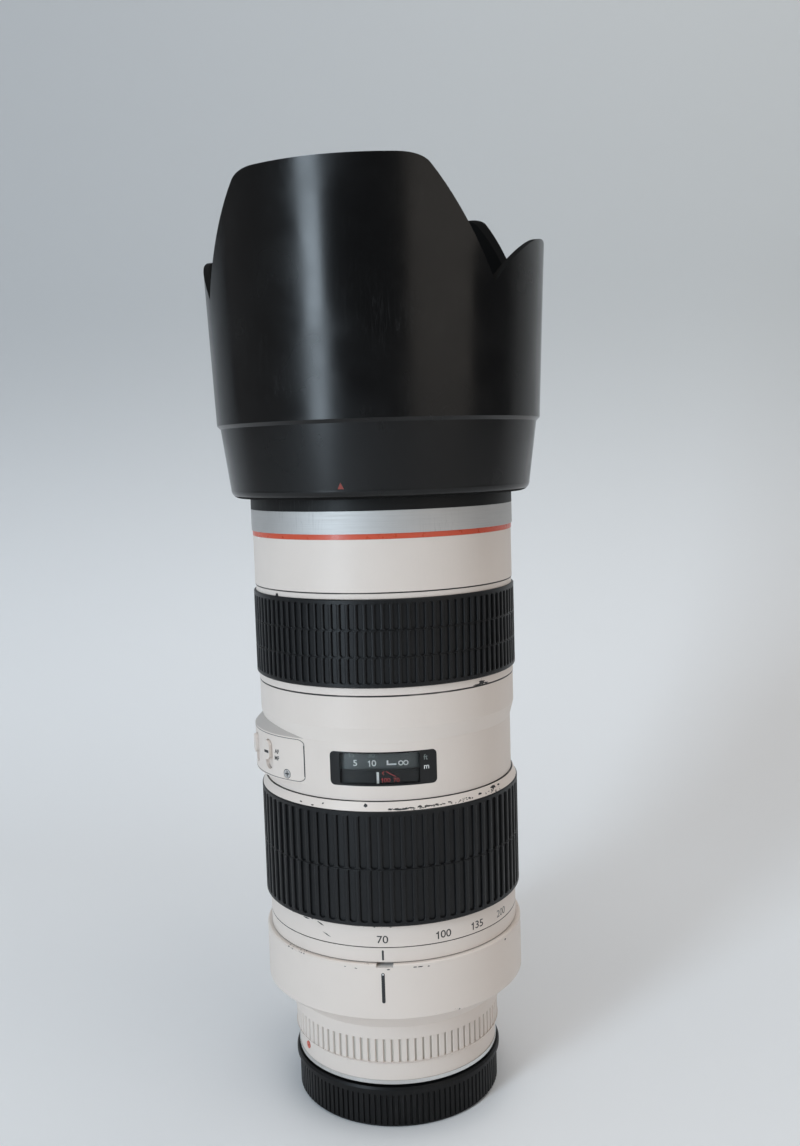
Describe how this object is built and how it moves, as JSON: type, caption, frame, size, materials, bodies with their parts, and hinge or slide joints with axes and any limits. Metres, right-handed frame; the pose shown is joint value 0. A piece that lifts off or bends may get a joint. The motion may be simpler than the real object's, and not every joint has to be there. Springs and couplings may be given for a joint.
{
  "type": "camera zoom lens",
  "caption": "Long white-barrelled tele zoom lens standing on its rear cap, with ribbed zoom and focus rings, tripod collar, distance window and a petal hood.",
  "frame": {"origin": "centre of the rear cap's outer face, on the optical axis", "axes": "+Z along the optical axis to the front, -Y through the index line, +Y towards the tripod foot"},
  "size_m": [0.108, 0.1248, 0.2928],
  "materials": {
    "cream_paint": "satin warm white paint, lightly chipped",
    "black_plastic": "matte black moulded plastic",
    "hood_plastic": "semi-gloss black moulded plastic with fine scuffs",
    "grip_rubber": "ribbed charcoal rubber",
    "bright_chrome": "bright plated brass",
    "satin_silver": "fine turned satin",
    "signal_red": "enamel",
    "coated_glass": "coated optical glass",
    "black_metal": "matte black anodised",
    "bare_aluminium": "machined",
    "contact_brass": "plated",
    "board_green": "solder mask",
    "window_clear": "clear polycarbonate",
    "steel_fastener": "machined steel"
  },
  "bodies": {
    "barrel": {"mount_flange": "bright_chrome", "mount_screws": "steel_fastener", "contact_block": "black_plastic", "contact_pins": "contact_brass", "rear_baffle": "black_plastic", "mount_index_dot": "signal_red", "circuit_board": "board_green", "rear_barrel": "cream_paint", "main_tube": "black_metal", "index_ring": "cream_paint", "centre_barrel": "cream_paint", "front_barrel": "cream_paint", "red_ring": "signal_red", "name_band": "satin_silver", "filter_ring": "black_metal", "retaining_ring": "black_metal", "front_element": "coated_glass", "motor_stator": "contact_brass", "window_cover": "window_clear", "window_index_plate": "black_plastic", "switch_panel": "cream_paint", "panel_screws": "steel_fastener", "rear_cell": "black_metal", "rear_glass": "coated_glass", "iris_base": "black_metal", "iris_cover": "black_metal", "iris_motor": "steel_fastener"},
    "rear_cap": {"rear_cap": "black_plastic"},
    "collar": {"tripod_collar": "cream_paint", "tripod_insert": "steel_fastener"},
    "clamp_knob": {"collar_knob": "black_plastic", "clamp_screw": "steel_fastener"},
    "zoom_ring": {"zoom_sleeve": "cream_paint", "zoom_grip": "grip_rubber", "zoom_cam_tube": "bare_aluminium", "zoom_key": "steel_fastener"},
    "variator": {"variator_cell": "black_metal", "variator_glass": "coated_glass"},
    "compensator": {"compensator_cell": "black_metal", "compensator_glass": "coated_glass"},
    "focus_ring": {"focus_sleeve": "cream_paint", "focus_grip": "grip_rubber"},
    "focus_drive": {"scale_drum": "black_metal", "focus_key": "steel_fastener", "focus_cam_tube": "bare_aluminium", "motor_rotor": "bare_aluminium"},
    "focus_group": {"focus_cell": "black_metal", "focus_glass": "coated_glass"},
    "focus_mode_switch": {"focus_mode_switch": "cream_paint"},
    "range_switch": {"range_switch": "cream_paint"},
    "iris_drive": {"iris_ring": "bare_aluminium"},
    "hood": {"lens_hood": "hood_plastic"},
    "blade_1": {"iris_blade_1": "black_metal"},
    "blade_2": {"iris_blade_2": "black_metal"},
    "blade_3": {"iris_blade_3": "black_metal"},
    "blade_4": {"iris_blade_4": "black_metal"},
    "blade_5": {"iris_blade_5": "black_metal"},
    "blade_6": {"iris_blade_6": "black_metal"},
    "blade_7": {"iris_blade_7": "black_metal"},
    "blade_8": {"iris_blade_8": "black_metal"}
  },
  "joints": [
    {"name": "zoom_turn", "type": "hinge", "parent": "barrel", "child": "zoom_ring", "pos_m": [0, 0, 0.085], "axis": [0, 0, 1], "range_deg": [-61.5, 0]},
    {"name": "variator_slide", "type": "slide", "parent": "barrel", "child": "variator", "axis": [0, 0, 1], "range_m": [-0.01605, 0.00005]},
    {"name": "compensator_slide", "type": "slide", "parent": "barrel", "child": "compensator", "axis": [0, 0, 1], "range_m": [-0.00005, 0.00605]},
    {"name": "focus_turn", "type": "hinge", "parent": "barrel", "child": "focus_ring", "pos_m": [0, 0, 0.155], "axis": [0, 0, 1], "range_deg": [-26, 150]},
    {"name": "distance_scale_turn", "type": "hinge", "parent": "barrel", "child": "focus_drive", "pos_m": [0, 0, 0.125], "axis": [0, 0, 1], "range_deg": [-13.05, 75.05]},
    {"name": "focus_group_slide", "type": "slide", "parent": "barrel", "child": "focus_group", "axis": [0, 0, 1], "range_m": [-0.0018, 0.0103]},
    {"name": "focus_mode_slide", "type": "slide", "parent": "barrel", "child": "focus_mode_switch", "axis": [0, 0, 1], "range_m": [-0.003, 0]},
    {"name": "range_slide", "type": "slide", "parent": "barrel", "child": "range_switch", "axis": [0, 0, 1], "range_m": [-0.003, 0]},
    {"name": "collar_turn", "type": "hinge", "parent": "barrel", "child": "collar", "pos_m": [0, 0, 0.049], "axis": [0, 0, 1], "continuous": true},
    {"name": "clamp_knob_turn", "type": "hinge", "parent": "collar", "child": "clamp_knob", "pos_m": [-0.03964, 0.03097, 0.04845], "axis": [0.6157, 0.788, 0], "range_deg": [0, 540]},
    {"name": "hood_twist", "type": "hinge", "parent": "barrel", "child": "hood", "pos_m": [0, 0, 0.2], "axis": [0, 0, 1], "range_deg": [0, 60]},
    {"name": "rear_cap_twist", "type": "hinge", "parent": "barrel", "child": "rear_cap", "pos_m": [0, 0, 0.01], "axis": [0, 0, 1], "range_deg": [-60, 0]},
    {"name": "iris_turn", "type": "hinge", "parent": "barrel", "child": "iris_drive", "pos_m": [0, 0, 0.079], "axis": [0, 0, 1], "range_deg": [0, 2.55]},
    {"name": "blade_1_turn", "type": "hinge", "parent": "barrel", "child": "blade_1", "pos_m": [0, -0.029, 0.0755], "axis": [0, 0, 1], "range_deg": [-0.05, 19.5]},
    {"name": "blade_2_turn", "type": "hinge", "parent": "barrel", "child": "blade_2", "pos_m": [0.02051, -0.02051, 0.0755], "axis": [0, 0, 1], "range_deg": [-0.05, 19.5]},
    {"name": "blade_3_turn", "type": "hinge", "parent": "barrel", "child": "blade_3", "pos_m": [0.029, 0, 0.0755], "axis": [0, 0, 1], "range_deg": [-0.05, 19.5]},
    {"name": "blade_4_turn", "type": "hinge", "parent": "barrel", "child": "blade_4", "pos_m": [0.02051, 0.02051, 0.0755], "axis": [0, 0, 1], "range_deg": [-0.05, 19.5]},
    {"name": "blade_5_turn", "type": "hinge", "parent": "barrel", "child": "blade_5", "pos_m": [0, 0.029, 0.0755], "axis": [0, 0, 1], "range_deg": [-0.05, 19.5]},
    {"name": "blade_6_turn", "type": "hinge", "parent": "barrel", "child": "blade_6", "pos_m": [-0.02051, 0.02051, 0.0755], "axis": [0, 0, 1], "range_deg": [-0.05, 19.5]},
    {"name": "blade_7_turn", "type": "hinge", "parent": "barrel", "child": "blade_7", "pos_m": [-0.029, 0, 0.0755], "axis": [0, 0, 1], "range_deg": [-0.05, 19.5]},
    {"name": "blade_8_turn", "type": "hinge", "parent": "barrel", "child": "blade_8", "pos_m": [-0.02051, -0.02051, 0.0755], "axis": [0, 0, 1], "range_deg": [-0.05, 19.5]}
  ],
  "couplings": [
    {"joint": "variator_slide", "follows": "zoom_turn", "m_per_rad": 0.014906},
    {"joint": "compensator_slide", "follows": "zoom_turn", "m_per_rad": -0.0055898},
    {"joint": "distance_scale_turn", "follows": "focus_turn", "ratio": 0.5},
    {"joint": "focus_group_slide", "follows": "focus_turn", "m_per_rad": 0.0039065},
    {"joint": "blade_1_turn", "follows": "iris_turn", "ratio": 7.6},
    {"joint": "blade_2_turn", "follows": "iris_turn", "ratio": 7.6},
    {"joint": "blade_3_turn", "follows": "iris_turn", "ratio": 7.6},
    {"joint": "blade_4_turn", "follows": "iris_turn", "ratio": 7.6},
    {"joint": "blade_5_turn", "follows": "iris_turn", "ratio": 7.6},
    {"joint": "blade_6_turn", "follows": "iris_turn", "ratio": 7.6},
    {"joint": "blade_7_turn", "follows": "iris_turn", "ratio": 7.6},
    {"joint": "blade_8_turn", "follows": "iris_turn", "ratio": 7.6}
  ]
}
